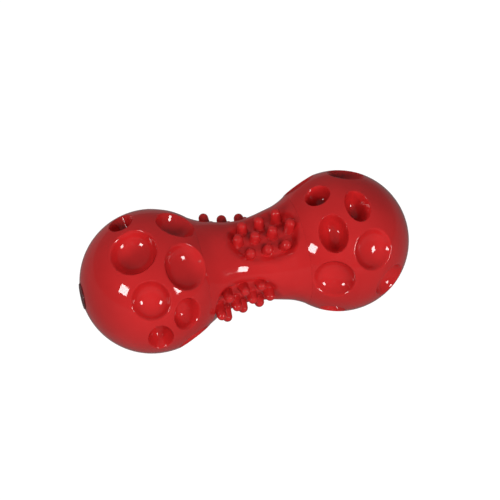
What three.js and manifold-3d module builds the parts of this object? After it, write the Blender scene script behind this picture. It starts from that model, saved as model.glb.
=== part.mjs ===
// Squeaky dumbbell toy for a dog: two hollow soft balls with pits, a concave grip with nubs between
// them, and a reed squeaker snapped into the pole of the left ball.
// Millimetres and degrees. X runs along the toy, the squeaker is at -X, and +Z is up.
// The origin lies on the floor, under the middle of the toy.
// A turn is counted about X from +Z towards -Y, and a latitude from the ball's middle plane,
// positive away from the grip.
import * as THREE from "three";
import { mergeVertices } from "three/addons/utils/BufferGeometryUtils.js";
import Module from "manifold-3d";

const wasm = await Module();
wasm.setup();

// Balls
const ballRadius = 32;
const ballSpacing = 87; // between the two centres
const ballWall = 3;
const restFlatDepth = 0.5; // how far the soft wall gives under the toy's own weight
const neckAngle = 50.2; // from the axis to the seam, seen from the ball's centre
const socketLip = 5; // ring of the neck face outside the socket
const socketDepth = 5;

// Pits
const pitDepth = 8; // of the deepest pit, from its rim's plane to its bottom

// Grip
const gripRadius = 18.7; // at the middle
const gripBend = 9; // how far from the middle its curve runs out nearly straight
const collarWidth = 4.5; // straight band beside each seam
const collarSlope = 30;
const gripSkin = 3; // under the sunk pads
const spigotWall = 3;

// Pads and nubs
const padDepth = 2; // at the grip's middle
const padSinkSlope = 0.07; // how much deeper it gets for each millimetre towards the ball
const padSeamMargin = 1.9; // from the seam to the pad's wide end
const padTail = 9.3; // how far the pad runs past the toy's middle
const padHalfTurn = 35;
const padCount = 4;
const firstPadTurn = 14.5;
const nubEndMargin = 2.8; // from the pad's wide end to its last nub's middle
const nubTailMargin = 4.2; // from the pad's other end to its first nub's middle
const nubRowTurn = 19.5;
const nubRowShift = -3; // how far the rows are turned from the pad's middle
const nubRadius = 2.3;
const nubTipRadius = 1.9;
const nubRise = 2.9; // above the grip's surface, at its middle
const nubRiseSlope = 0.08; // how much more for each millimetre towards the ball

// Squeaker
const seatDepth = 1.6; // from the ball's pole to the floor of the flange's pocket
const seatWall = 3;
const flangeRadius = 5.8;
const flangeThickness = 1.2;
const barrelRadius = 4.6;
const barrelWall = 0.9;
const squeakerLength = 15;
const lipLength = 2.2;
const capThickness = 0.7;
const capLedge = 0.6;
const capHoleRadius = 0.5;
const capHoleCircle = 2.3;
const capHoleCount = 6;
const holderInset = 2; // from the squeaker's face to the reed holder
const holderLength = 11.5;
const tableDrop = 0.4; // from the barrel's axis down to the holder's table
const clampLength = 4;
const reedLength = 10.4;
const reedWidth = 3.6;
const reedThickness = 0.25;
const reedSetback = 0.2;
const reedSwing = 3; // the table falls away by this much under the free end
const channelWidth = 2.4;
const channelDepth = 1.7;

// Clearances
const fitGap = 0.3;
const seamGap = 0.3;
const overrun = 1; // how far a cut runs past what it cuts
const weldDistance = 0.001;

// Facets
const ballSides = 32;
const ballArcs = 14;
const cavitySides = 20;
const cavityArcs = 8;
const pitSides = 12;
const bumpSides = 8;
const gripSides = 28;
const gripSteps = 8;
const boreSteps = 4;
const padPoints = 24;
const nubSides = 6;
const squeakerSides = 20;
const capHoleSides = 8;

// Section of a pit's bowl, from its middle out: share of the half width, and of the bowl's depth
const pitSectionShares = [
  [0, 1],
  [0.35, 0.96],
  [0.62, 0.79],
  [0.84, 0.47],
  [0.97, 0.14],
  [1.08, -0.1],
];
// The cavity's bump behind a pit, in the same way, and how far it reaches past the pit, as a share
// of the wall
const bumpSectionShares = [
  [0, 1],
  [0.36, 0.94],
  [0.68, 0.68],
  [1, -0.1],
];
const bumpFlankShare = 0.45;
// Outline of a pad: how much wider it is at the ball's end, and its corner fullness
const padFlareShare = 0.12;
const padFullness = 2.4;
const padDraftShare = 0.92;
const nubShoulderShare = 0.75;
const nubCrownShare = 0.6;

// Pits of each ball: latitude, turn, half widths along and around the toy as shares of ballRadius,
// and depth as a share of pitDepth
const leftPitShares = [
  [18, -23.9, 0.172, 0.219, 1],
  [17, 15.2, 0.319, 0.319, 0.84],
  [12, 58.9, 0.256, 0.269, 0.6],
  [7.6, 95.5, 0.166, 0.244, 0.96],
  [18.5, 156, 0.27, 0.27, 0.6],
  [18, 190, 0.21, 0.21, 0.88],
  [12, 220, 0.172, 0.205, 0.96],
  [17, 254.5, 0.28, 0.28, 0.68],
  [14, 293.5, 0.256, 0.262, 0.6],
  [-23.7, 0.1, 0.266, 0.266, 0.72],
  [-21.5, 37.2, 0.297, 0.312, 0.6],
  [-15.3, 77.5, 0.188, 0.244, 0.8],
  [-23, 121, 0.25, 0.25, 0.6],
  [-21.5, 161, 0.297, 0.3, 0.6],
  [-15.3, 200, 0.188, 0.244, 0.88],
  [-23, 236, 0.25, 0.25, 0.6],
  [-21.5, 275, 0.29, 0.29, 0.6],
  [-17, 311, 0.188, 0.19, 0.88],
];
const rightPitShares = [
  [13.5, -26.5, 0.25, 0.25, 0.8],
  [8, 18.2, 0.172, 0.238, 1],
  [13, 56.8, 0.272, 0.278, 0.56],
  [28.6, 96.4, 0.25, 0.25, 0.6],
  [8, 146, 0.172, 0.238, 0.96],
  [18, 183, 0.266, 0.266, 0.6],
  [22, 221, 0.25, 0.25, 0.6],
  [8, 256.5, 0.172, 0.238, 0.96],
  [15, 295.5, 0.272, 0.272, 0.6],
  [-24, -45, 0.25, 0.25, 0.6],
  [-19.4, -2.5, 0.175, 0.175, 0.92],
  [-17.2, 36.6, 0.194, 0.262, 1],
  [-22, 77.2, 0.281, 0.281, 0.58],
  [-19.4, 124, 0.175, 0.175, 0.88],
  [-17.2, 160, 0.194, 0.262, 0.88],
  [-22, 199, 0.27, 0.27, 0.6],
  [-19.4, 238, 0.175, 0.175, 0.88],
  [-17.2, 277.5, 0.194, 0.25, 0.88],
];

// Rows of nubs on a pad: how many, and how many row turns from the pad's middle
const nubRows = [
  [3, -1],
  [4, 0],
  [3, 1],
];

// What follows from the driving sizes
const radians = THREE.MathUtils.degToRad;
const axisHeight = ballRadius - restFlatDepth;
const seamOffset = ballRadius * Math.cos(radians(neckAngle)); // from the ball's centre
const seamX = ballSpacing / 2 - seamOffset;
const seamRadius = ballRadius * Math.sin(radians(neckAngle));
const creaseX = seamX - collarWidth;
const creaseRadius = seamRadius - collarWidth * Math.tan(radians(collarSlope));
const socketRadius = seamRadius - socketLip;
const spigotRadius = socketRadius - fitGap;
const cavityRadius = ballRadius - ballWall;
const padReach = seamX - padSeamMargin;
const padShift = (padReach - padTail) / 2; // from the toy's middle to the pad's middle
const padHalfLength = (padReach + padTail) / 2;
const nubFieldStart = nubTailMargin - padTail;
const nubFieldEnd = padReach - nubEndMargin;
const nubFieldShift = (nubFieldStart + nubFieldEnd) / 2;
const nubPitch = (nubFieldEnd - nubFieldStart) / (Math.max(...nubRows.map(([count]) => count)) - 1);
const boreRadius = barrelRadius - barrelWall;
const squeakerFace = -ballSpacing / 2 - ballRadius + seatDepth - fitGap - flangeThickness;
const tableHeight = axisHeight - tableDrop;

// A closed solid from a geometry, with its faces turned outward.
function solid(geometry) {
  const bare = geometry.clone();
  bare.deleteAttribute("normal");
  bare.deleteAttribute("uv");
  const welded = mergeVertices(bare, weldDistance);
  const corners = [];
  for (let i = 0; i < welded.index.count; i += 3) {
    const [a, b, c] = [0, 1, 2].map((k) => welded.index.getX(i + k));
    if (a !== b && b !== c && c !== a) corners.push([a, b, c]);
  }
  const make = (faces) =>
    new wasm.Manifold(
      new wasm.Mesh({
        numProp: 3,
        vertProperties: welded.attributes.position.array,
        triVerts: new Uint32Array(faces.flat()),
      }),
    );
  const made = make(corners);
  return made.volume() > 0 ? made : make(corners.map(([a, b, c]) => [a, c, b]));
}

// A solid turned about the X axis from [x, radius] pairs, raised to the toy's axis.
function turned(profile, sides) {
  const points = profile.map(([x, radius]) => new THREE.Vector2(radius, x));
  const geometry = new THREE.LatheGeometry(points, sides);
  return solid(geometry.rotateZ(-Math.PI / 2).translate(0, 0, axisHeight));
}

// A plain round rod along X.
function rod(from, to, radius, sides) {
  const profile = [
    [from, 0],
    [from, radius],
    [to, radius],
    [to, 0],
  ];
  return turned(profile, sides);
}

// A block from its lowest and highest corners.
function block(low, high) {
  const size = high.map((value, k) => value - low[k]);
  const middle = high.map((value, k) => (value + low[k]) / 2);
  return new THREE.BoxGeometry(...size).translate(...middle);
}

// The ball's own place along X; side is -1 for the left ball and 1 for the right one.
const ballCentre = (side) => (side * ballSpacing) / 2;

// Points of an arc about a ball's centre, from one angle to another, counted from its outer pole.
function ballArc(side, radius, from, to, steps) {
  return Array.from({ length: steps + 1 }, (_, i) => {
    const angle = from + ((to - from) * i) / steps;
    return [ballCentre(side) + side * radius * Math.cos(angle), radius * Math.sin(angle)];
  });
}

// Stands an upright turned form on the ball, out along a latitude and a turn.
function standOnBall(geometry, side, latitude, turn) {
  const across = new THREE.Vector3(0, -Math.sin(radians(turn)), Math.cos(radians(turn)));
  const along = new THREE.Vector3(side, 0, 0);
  const lift = radians(latitude);
  const outward = along.clone().multiplyScalar(Math.sin(lift)).addScaledVector(across, Math.cos(lift));
  const poleward = along.clone().multiplyScalar(Math.cos(lift)).addScaledVector(across, -Math.sin(lift));
  const sideways = new THREE.Vector3().crossVectors(poleward, outward);
  geometry.applyMatrix4(new THREE.Matrix4().makeBasis(poleward, outward, sideways));
  return solid(geometry.translate(ballCentre(side), 0, axisHeight));
}

// A turned form of [share of the half width, height above the ball's centre] pairs.
function ovalForm(pairs, halfAlong, halfAround, sides) {
  const points = pairs.map(([share, height]) => new THREE.Vector2(share, height));
  return new THREE.LatheGeometry(points, sides).scale(halfAlong, 1, halfAround);
}

// A bowl-ended form on a ball: its section starts at a bottom height and meets a sphere at its rim.
function bowl(side, [latitude, turn], halves, section, bottom, sphereRadius, top, sides) {
  const rim = Math.sqrt(sphereRadius ** 2 - ((halves[0] + halves[1]) / 2) ** 2);
  const rise = section.map(([across, down]) => [across, rim - down * (rim - bottom)]);
  const [mouth] = section[section.length - 1];
  const form = ovalForm([...rise, [mouth, top], [0, top]], ...halves, sides);
  return standOnBall(form, side, latitude, turn);
}

// Height of a pit's bottom above the ball's centre.
function pitBottom([, , along, around, depth]) {
  return ballRadius * Math.sqrt(1 - ((along + around) / 2) ** 2) - depth * pitDepth;
}

// What a pit takes out of the ball.
function pit(side, place) {
  const halves = place.slice(2, 4).map((share) => share * ballRadius);
  const bottom = pitBottom(place);
  return bowl(side, place, halves, pitSectionShares, bottom, ballRadius, ballRadius + overrun, pitSides);
}

// The wall's bump into the cavity behind a pit.
function bump(side, place) {
  const halves = place.slice(2, 4).map((share) => share * ballRadius + bumpFlankShare * ballWall);
  const bottom = pitBottom(place) - ballWall;
  return bowl(side, place, halves, bumpSectionShares, bottom, cavityRadius, ballRadius, bumpSides);
}

// One hollow ball: its skin with pits, its cavity with bumps, the flat it rests on and its socket.
function ball(side, pitShares, poleFlat) {
  const seamAngle = Math.PI - radians(neckAngle);
  const seam = ballCentre(side) - side * seamOffset;
  const skin = turned([...ballArc(side, ballRadius, 0, seamAngle, ballArcs), [seam, 0]], ballSides);

  const lastAngle = Math.acos((socketDepth - seamOffset) / cavityRadius);
  const firstAngle = poleFlat ? Math.acos(poleFlat / cavityRadius) : 0;
  const start = poleFlat ? [[ballCentre(side) + side * poleFlat, 0]] : [];
  const neckEnd = [seam + side * socketDepth, 0];
  const arc = ballArc(side, cavityRadius, firstAngle, lastAngle, cavityArcs);
  let cavity = turned([...start, ...arc, neckEnd], cavitySides);
  for (const shares of pitShares) cavity = cavity.subtract(bump(side, shares));

  const socket = rod(seam - side * overrun, seam + side * (socketDepth + overrun), socketRadius, gripSides);
  const reach = ballRadius + overrun;
  const middle = ballCentre(side);
  const floor = solid(block([middle - reach, -reach, -reach], [middle + reach, reach, 0]));
  let body = skin.subtract(cavity).subtract(socket).subtract(floor);
  for (const shares of pitShares) body = body.subtract(pit(side, shares));
  return body;
}

// The left ball also has the squeaker's pocket and hole in its pole.
function leftBall() {
  const pole = -ballSpacing / 2 - ballRadius;
  const pocketFloor = pole + seatDepth;
  const pocket = rod(pole - overrun, pocketFloor, flangeRadius + fitGap, squeakerSides);
  const hole = rod(pole, pocketFloor + seatWall + overrun, barrelRadius + fitGap, squeakerSides);
  return ball(-1, leftPitShares, ballRadius - seatDepth - seatWall).subtract(pocket).subtract(hole);
}

// The grip's outer radius at a place along the toy.
function gripRadiusAt(x) {
  const reach = Math.abs(x);
  const rise = (x) => Math.hypot(x, gripBend) - gripBend;
  if (reach <= creaseX) return gripRadius + ((creaseRadius - gripRadius) * rise(reach)) / rise(creaseX);
  return creaseRadius + (reach - creaseX) * Math.tan(radians(collarSlope));
}

// How far a pad is sunk at a place along the toy.
function padDepthAt(x) {
  return padDepth + padSinkSlope * Math.abs(x);
}

// [x, radius] pairs of the grip's surface, or of its pads' floor, out to the given end each way.
function gripOutline(end, depthAt = () => 0) {
  const inner = Array.from({ length: gripSteps + 1 }, (_, i) => creaseX * ((2 * i) / gripSteps - 1));
  return [-end, ...inner, end].map((x) => [x, gripRadiusAt(x) - depthAt(x)]);
}

// A point of a pad's outline at a given depth; corner runs once round from 0 to 1.
function padPoint(side, turn, corner, depthRadius, lengthScale) {
  const angle = 2 * Math.PI * corner;
  const fuller = (value) => Math.sign(value) * Math.abs(value) ** (2 / padFullness);
  const along = fuller(Math.cos(angle));
  const around = fuller(Math.sin(angle)) * (1 + padFlareShare * along);
  const x = side * (padShift + padHalfLength * lengthScale * along);
  const swing = radians(turn + padHalfTurn * around);
  return [x, -depthRadius * Math.sin(swing), axisHeight + depthRadius * Math.cos(swing)];
}

// What a sunk pad takes out of the grip: a block between two outlines, over a core like the grip.
function padCut(side, turn) {
  const inside = gripRadius - padDepthAt(padShift + padHalfLength) - overrun;
  const outside = ballRadius;
  const places = [];
  for (const [radius, scale] of [
    [inside, padDraftShare],
    [outside, 1 + (1 - padDraftShare)],
  ]) {
    for (let i = 0; i < padPoints; i += 1) places.push(padPoint(side, turn, i / padPoints, radius, scale));
    const middle = radians(turn);
    places.push([side * padShift, -radius * Math.sin(middle), axisHeight + radius * Math.cos(middle)]);
  }
  const upper = padPoints + 1;
  const faces = [];
  for (let i = 0; i < padPoints; i += 1) {
    const next = (i + 1) % padPoints;
    faces.push([i, next, upper + next], [i, upper + next, upper + i]);
    faces.push([padPoints, next, i], [upper + padPoints, upper + i, upper + next]);
  }
  const geometry = new THREE.BufferGeometry();
  geometry.setAttribute("position", new THREE.Float32BufferAttribute(places.flat(), 3));
  geometry.setIndex(faces.flat());
  return solid(geometry);
}

// One tapered nub with a rounded tip, rooted in the grip at a place and a turn.
function nub(x, turn) {
  const root = gripRadiusAt(x) - padDepthAt(x) - overrun;
  const tip = gripRadiusAt(x) + nubRise + nubRiseSlope * Math.abs(x);
  const crown = nubTipRadius * nubShoulderShare;
  const points = [
    [0, root],
    [nubRadius, root],
    [nubTipRadius, tip - crown],
    [nubTipRadius * nubCrownShare, tip - crown * (1 - nubCrownShare)],
    [0, tip],
  ];
  const geometry = new THREE.LatheGeometry(
    points.map((pair) => new THREE.Vector2(...pair)),
    nubSides,
  );
  return solid(
    geometry
      .rotateX(Math.PI / 2)
      .rotateX(radians(turn))
      .translate(x, 0, axisHeight),
  );
}

// The grip: a flared tube with a spigot at each end, sunk pads and nubs.
function grip() {
  const shoulder = seamX - seamGap;
  const end = seamX + socketDepth;
  const spigotBore = spigotRadius - spigotWall;
  const boreMiddle = gripRadius - padDepth - gripSkin;
  const skin = [
    [-end, 0],
    [-end, spigotRadius],
    [-shoulder, spigotRadius],
    ...gripOutline(shoulder),
    [shoulder, spigotRadius],
    [end, spigotRadius],
    [end, 0],
  ];
  const boreEnd = end + overrun;
  const bore = Array.from({ length: boreSteps + 1 }, (_, i) => {
    const share = (2 * i) / boreSteps - 1;
    return [boreEnd * share, boreMiddle + (spigotBore - boreMiddle) * share ** 2];
  });
  const hollow = turned([[-boreEnd, 0], ...bore, [boreEnd, 0]], gripSides);
  const coreEnd = seamX + ballRadius;
  const core = turned([[-coreEnd, 0], ...gripOutline(coreEnd, padDepthAt), [coreEnd, 0]], gripSides);
  let body = turned(skin, gripSides);
  const pads = Array.from({ length: padCount }, (_, i) => ({
    side: i % 2 ? -1 : 1,
    turn: firstPadTurn + (360 * i) / padCount,
  }));
  for (const { side, turn } of pads) body = body.subtract(padCut(side, turn).subtract(core));
  for (const { side, turn } of pads) {
    for (const [count, rows] of nubRows) {
      for (let i = 0; i < count; i += 1) {
        const x = side * (nubFieldShift + (i - (count - 1) / 2) * nubPitch);
        body = body.add(nub(x, turn + nubRowShift + rows * nubRowTurn));
      }
    }
  }
  return body.subtract(hollow);
}

// The squeaker's barrel: flange, neck through the wall, snap lip, and a bore with the cap's seat.
function squeakerBody() {
  const flangeBack = squeakerFace + flangeThickness;
  const lip = flangeBack + seatWall + 2 * fitGap;
  const outline = [
    [squeakerFace, 0],
    [squeakerFace, flangeRadius],
    [flangeBack, flangeRadius],
    [flangeBack, barrelRadius],
    [lip, barrelRadius],
    [lip, flangeRadius],
    [lip + lipLength / 2, flangeRadius],
    [lip + lipLength, barrelRadius],
    [squeakerFace + squeakerLength, barrelRadius],
    [squeakerFace + squeakerLength, 0],
  ];
  const seat = squeakerFace + capThickness + fitGap;
  const mouth = squeakerFace - overrun;
  const bore = rod(mouth, squeakerFace + squeakerLength + overrun, boreRadius, squeakerSides);
  const counterbore = rod(mouth, seat, boreRadius + capLedge, squeakerSides);
  return turned(outline, squeakerSides).subtract(bore).subtract(counterbore);
}

// The pierced cap that closes the barrel's outer end.
function squeakerCap() {
  const back = squeakerFace + capThickness;
  let cap = rod(squeakerFace, back, boreRadius + capLedge - fitGap, squeakerSides);
  const hole = rod(squeakerFace - overrun, back + overrun, capHoleRadius, capHoleSides);
  cap = cap.subtract(hole);
  for (let i = 0; i < capHoleCount; i += 1) {
    const angle = (2 * Math.PI * i) / capHoleCount;
    const offset = [Math.cos(angle), Math.sin(angle)].map((share) => share * capHoleCircle);
    cap = cap.subtract(hole.translate([0, ...offset]));
  }
  return cap;
}

const holderStart = squeakerFace + holderInset;
const clampEdge = holderStart + clampLength;
const reedStart = holderStart + reedSetback;
const reedHeight = tableHeight + fitGap;

// The half-round trough whose flat table the reed beats on, with the air channel under the reed.
function reedHolder() {
  const holderEnd = holderStart + holderLength;
  const wide = 2 * boreRadius;
  const above = block(
    [holderStart - wide, -wide, tableHeight],
    [holderEnd + wide, wide, axisHeight + wide],
  );
  const fallAway = block([0, -wide, 0], [holderLength + wide, wide, wide]).rotateY(radians(reedSwing));
  const channel = block(
    [holderStart - overrun, -channelWidth / 2, tableHeight - channelDepth],
    [reedStart + reedLength, channelWidth / 2, tableHeight + overrun],
  );
  return rod(holderStart, holderEnd, boreRadius - fitGap, squeakerSides)
    .subtract(solid(above))
    .subtract(solid(fallAway.translate(clampEdge, 0, tableHeight)))
    .subtract(solid(channel));
}

// The thin blade, clamped at its outer end and free at its inner one.
function reed() {
  const low = [reedStart, -reedWidth / 2, reedHeight];
  const high = [reedStart + reedLength, reedWidth / 2, reedHeight + reedThickness];
  return solid(block(low, high));
}

// The half-round plug that presses the reed's root onto the holder.
function reedWedge() {
  const wide = 2 * boreRadius;
  const under = reedHeight + reedThickness + fitGap;
  const below = block([holderStart - wide, -wide, axisHeight - wide], [clampEdge + wide, wide, under]);
  return rod(holderStart, clampEdge, boreRadius - fitGap, squeakerSides).subtract(solid(below));
}

const softRed = new THREE.MeshStandardMaterial({ color: 0xc41e26, roughness: 0.2, metalness: 0 });
const darkPlastic = new THREE.MeshStandardMaterial({ color: 0x5a1014, roughness: 0.35, metalness: 0 });
const reedPlastic = new THREE.MeshStandardMaterial({ color: 0xe8e4d8, roughness: 0.3, metalness: 0 });

const toy = new THREE.Group();

// Adds a solid to the toy as a named mesh.
function addPiece(name, made, material) {
  const { vertProperties, triVerts } = made.getMesh();
  const geometry = new THREE.BufferGeometry();
  geometry.setAttribute("position", new THREE.BufferAttribute(vertProperties, 3));
  geometry.setIndex(new THREE.BufferAttribute(triVerts, 1));
  const mesh = new THREE.Mesh(geometry, material);
  mesh.name = name;
  toy.add(mesh);
}

addPiece("left_ball", leftBall(), softRed);
addPiece("grip", grip(), softRed);
addPiece("right_ball", ball(1, rightPitShares, 0), softRed);
addPiece("squeaker_body", squeakerBody(), darkPlastic);
addPiece("squeaker_cap", squeakerCap(), darkPlastic);
addPiece("reed_holder", reedHolder(), reedPlastic);
addPiece("reed", reed(), reedPlastic);
addPiece("reed_wedge", reedWedge(), reedPlastic);

export default toy;
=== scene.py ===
"""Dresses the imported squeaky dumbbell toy: two soft glossy balls with pits, a waist with pads of
rubber nubs, and the squeaker in the left ball's pole. Lengths are metres, except where a comment
says millimetres. X runs along the toy, the squeaker is at -X, and a turn is counted about X from +Z
towards -Y."""

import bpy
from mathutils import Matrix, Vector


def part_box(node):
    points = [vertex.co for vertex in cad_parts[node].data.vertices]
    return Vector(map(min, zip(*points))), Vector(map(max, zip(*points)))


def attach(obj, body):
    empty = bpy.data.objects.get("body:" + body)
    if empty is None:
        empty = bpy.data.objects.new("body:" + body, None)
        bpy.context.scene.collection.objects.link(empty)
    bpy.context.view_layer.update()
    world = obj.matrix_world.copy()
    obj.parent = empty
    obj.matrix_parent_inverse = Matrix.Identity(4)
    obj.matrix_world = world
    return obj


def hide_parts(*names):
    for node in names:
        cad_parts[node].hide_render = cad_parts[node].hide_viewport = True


bl_info = {
    "name": "Squeaky Dumbbell Toy",
    "version": (1, 0, 0),
    "blender": (4, 5, 0),
    "location": "View3D > Sidebar > Toy",
    "description": "Models a soft dumbbell toy with pits, nubs and a reed squeaker on its CAD frame",
    "category": "Object",
}

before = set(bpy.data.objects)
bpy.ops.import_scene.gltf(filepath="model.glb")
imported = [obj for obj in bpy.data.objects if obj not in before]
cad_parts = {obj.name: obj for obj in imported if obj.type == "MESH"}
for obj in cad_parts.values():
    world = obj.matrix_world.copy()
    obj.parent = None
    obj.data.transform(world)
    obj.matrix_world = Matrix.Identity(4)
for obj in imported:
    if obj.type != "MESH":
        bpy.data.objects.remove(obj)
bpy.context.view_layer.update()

import math

import bpy
import numpy as np
from bpy.props import FloatProperty, FloatVectorProperty, IntProperty, PointerProperty
from bpy.types import Operator, Panel, PropertyGroup
from mathutils import Vector

MM = 0.001

# The frame's own places
RIGHT_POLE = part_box("right_ball")[1].x
SQUEAKER_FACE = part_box("squeaker_body")[0].x
SQUEAKER_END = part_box("squeaker_body")[1].x
FLANGE_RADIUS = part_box("squeaker_body")[1].y
CAP_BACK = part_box("squeaker_cap")[1].x

# Pits of each ball: latitude away from the waist, turn, half widths along and around the toy as
# shares of the ball's radius, and depth as a share of the deepest one's
LEFT_PITS = (
    (18, -23.9, 0.172, 0.219, 1),
    (17, 15.2, 0.319, 0.319, 0.84),
    (12, 58.9, 0.256, 0.269, 0.6),
    (7.6, 95.5, 0.166, 0.244, 0.96),
    (18.5, 156, 0.27, 0.27, 0.6),
    (18, 190, 0.21, 0.21, 0.88),
    (12, 220, 0.172, 0.205, 0.96),
    (17, 254.5, 0.28, 0.28, 0.68),
    (14, 293.5, 0.256, 0.262, 0.6),
    (-23.8, -7, 0.275, 0.26, 0.78),
    (-21.5, 37.2, 0.297, 0.312, 0.6),
    (-15.3, 77.5, 0.188, 0.244, 0.8),
    (-23, 121, 0.25, 0.25, 0.6),
    (-21.5, 161, 0.297, 0.3, 0.6),
    (-15.3, 200, 0.188, 0.244, 0.88),
    (-23, 236, 0.25, 0.25, 0.6),
    (-21.5, 275, 0.29, 0.29, 0.6),
    (-17, 311, 0.188, 0.19, 0.88),
)
RIGHT_PITS = (
    (13.5, -26.5, 0.25, 0.25, 0.8),
    (8, 18.2, 0.172, 0.238, 1),
    (13, 56.8, 0.272, 0.278, 0.56),
    (28.6, 96.4, 0.25, 0.25, 0.6),
    (8, 146, 0.172, 0.238, 0.96),
    (18, 183, 0.266, 0.266, 0.6),
    (22, 221, 0.25, 0.25, 0.6),
    (8, 256.5, 0.172, 0.238, 0.96),
    (15, 295.5, 0.272, 0.272, 0.6),
    (-24, -45, 0.25, 0.25, 0.6),
    (-19.4, -2.5, 0.175, 0.175, 0.92),
    (-17.2, 36.6, 0.194, 0.262, 1),
    (-22, 77.2, 0.281, 0.281, 0.58),
    (-19.4, 124, 0.175, 0.175, 0.88),
    (-17.2, 160, 0.194, 0.262, 0.88),
    (-22, 199, 0.27, 0.27, 0.6),
    (-19.4, 238, 0.175, 0.175, 0.88),
    (-17.2, 277.5, 0.194, 0.25, 0.88),
)

# Each lamp's azimuth, elevation, side in millimetres, watts, and whether the gloss mirrors it
LAMPS = (
    (-62.7, 21.4, 220, 3, True),
    (30.4, 22.2, 220, 3, True),
    (-8, 22, 600, 6.4, False),
    (-160, 38, 600, 4.4, False),
)

# A pit's bowl: its wall falls as two powers of the share of the half width, a gentle one and a
# steep one at the rim
BOWL_GENTLE_SHARE = 0.82
BOWL_GENTLE_POWER = 2.8
BOWL_STEEP_POWER = 11
BOWL_REACH = 1.3  # half widths out to which the bowl is followed
BOWL_HALVINGS = 26  # steps of the search for its radius
BUMP_FLANK_SHARE = 0.45  # how far the cavity's bump reaches past its pit, as a share of the wall
TINY = 1e-9  # keeps a division off zero

# Grids, as steps round a spun piece and along its outline
BALL_TURNS = 180
BALL_ARCS = 66
CAVITY_ARCS = 30
GRIP_TURNS = 150
GRIP_STEPS = 52
BORE_STEPS = 16
NUB_TURNS = 24
FOOT_POINTS = 6
CROWN_POINTS = 8
SQUEAKER_TURNS = 64
DRILL_TURNS = 20
CORNER_STEPS = 4
SPARE = 0.1 * MM  # how far a drawn skin stands above the finished one that it is pressed to
SKIN_TOLERANCE = 0.012 * MM  # how near its drawn radius a vertex still belongs to the skin
WELD = 0.002 * MM  # vertices nearer than this are merged
PIT_REFINES = ((0, 1.22), (0.74, 1.14))  # shares of the half width between which faces are split
PAD_REFINES = ((-1.6, 2.2), (-1.1, 1.5), (-0.5, 0.9))  # millimetres inside a pad's outline

# Radius that a skin is pressed towards, deeper than any pit or pad, as a share of the outer one
BALL_CORE = 1 / 2
GRIP_CORE = 1 / 3

# Rows of nubs on a pad: how many, and how many row turns from the pad's middle
NUB_ROWS = ((3, -1), (4, 0), (3, 1))
PAD_SIDES = (1, -1, 1, -1)  # the ball that each pad leans towards

# A nub is drawn high above its pad, and then pressed down to its place
NUB_DRAWN = 6 * MM
NUB_ROOT = 1.2 * MM  # how far it reaches into the wall under the pad
FOOT_FILLET_SHARE = 0.9  # of its foot's flare is a hollow curve, and the rest is a plain cone

# Degrees past which an edge stays sharp, and past which a reed part's edge is bevelled
SOFT_EDGE = 40
HARD_EDGE = 35
REED_EDGE = 40
REED_FLAT = 1  # degrees under which a reed part's faces are joined
REED_BEVEL_STEPS = 3
DRILL_LENGTH = 3  # in thicknesses of the cap

# Hard plastic's patches, as shares of its colour and of its roughness
PATCH_SHADE = 0.85
PATCH_ROUGHNESS = 1.4

SENSOR_WIDTH = 36  # millimetres
CAMERA_RANGE = (0.01, 20)
CEILING_RISE = (0.15, 0.85)  # sines of the elevations between which the walls become the ceiling


def length(name, description, default, low=0):
    """A length property, given in millimetres."""
    return FloatProperty(
        name=name, description=description, default=default * MM, min=low * MM, unit="LENGTH"
    )


def angle(name, description, default):
    """An angle property, given in degrees."""
    return FloatProperty(
        name=name, description=description, default=math.radians(default), subtype="ANGLE"
    )


def number(name, description, default):
    """A plain number property."""
    return FloatProperty(name=name, description=description, default=default)


def colour(name, description, default):
    """A colour property."""
    return FloatVectorProperty(
        name=name, description=description, default=default, size=3, min=0, max=1, subtype="COLOR"
    )


class ToyBallSizes(PropertyGroup):
    radius: length("Radius", "Outer radius of each ball", 32)
    wall: length("Wall", "Thickness of a ball's wall", 3)
    rest_flat: length("Rest flat", "How far the wall gives under the toy's weight", 0.5)
    neck_angle: angle("Neck angle", "From the axis to the seam, seen from the ball's centre", 50.2)
    socket_lip: length("Socket lip", "Ring of the neck face outside the socket", 5)
    socket_depth: length("Socket depth", "Depth of the socket that takes the waist", 5)
    pit_depth: length("Pit depth", "From the deepest pit's rim to its bottom", 8)
    rim_blend: length("Rim blend", "How softly a pit's rim rounds into the ball", 1.9)
    edge_round: length("Edge round", "Rounding of the socket's and the seat's edges", 0.25)
    seam_round: length("Seam round", "Rounding of the seam's edge", 0.05)
    seat_depth: length("Seat depth", "From the pole to the floor of the flange's pocket", 1.6)
    seat_wall: length("Seat wall", "Wall under the squeaker's flange", 3)


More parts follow.
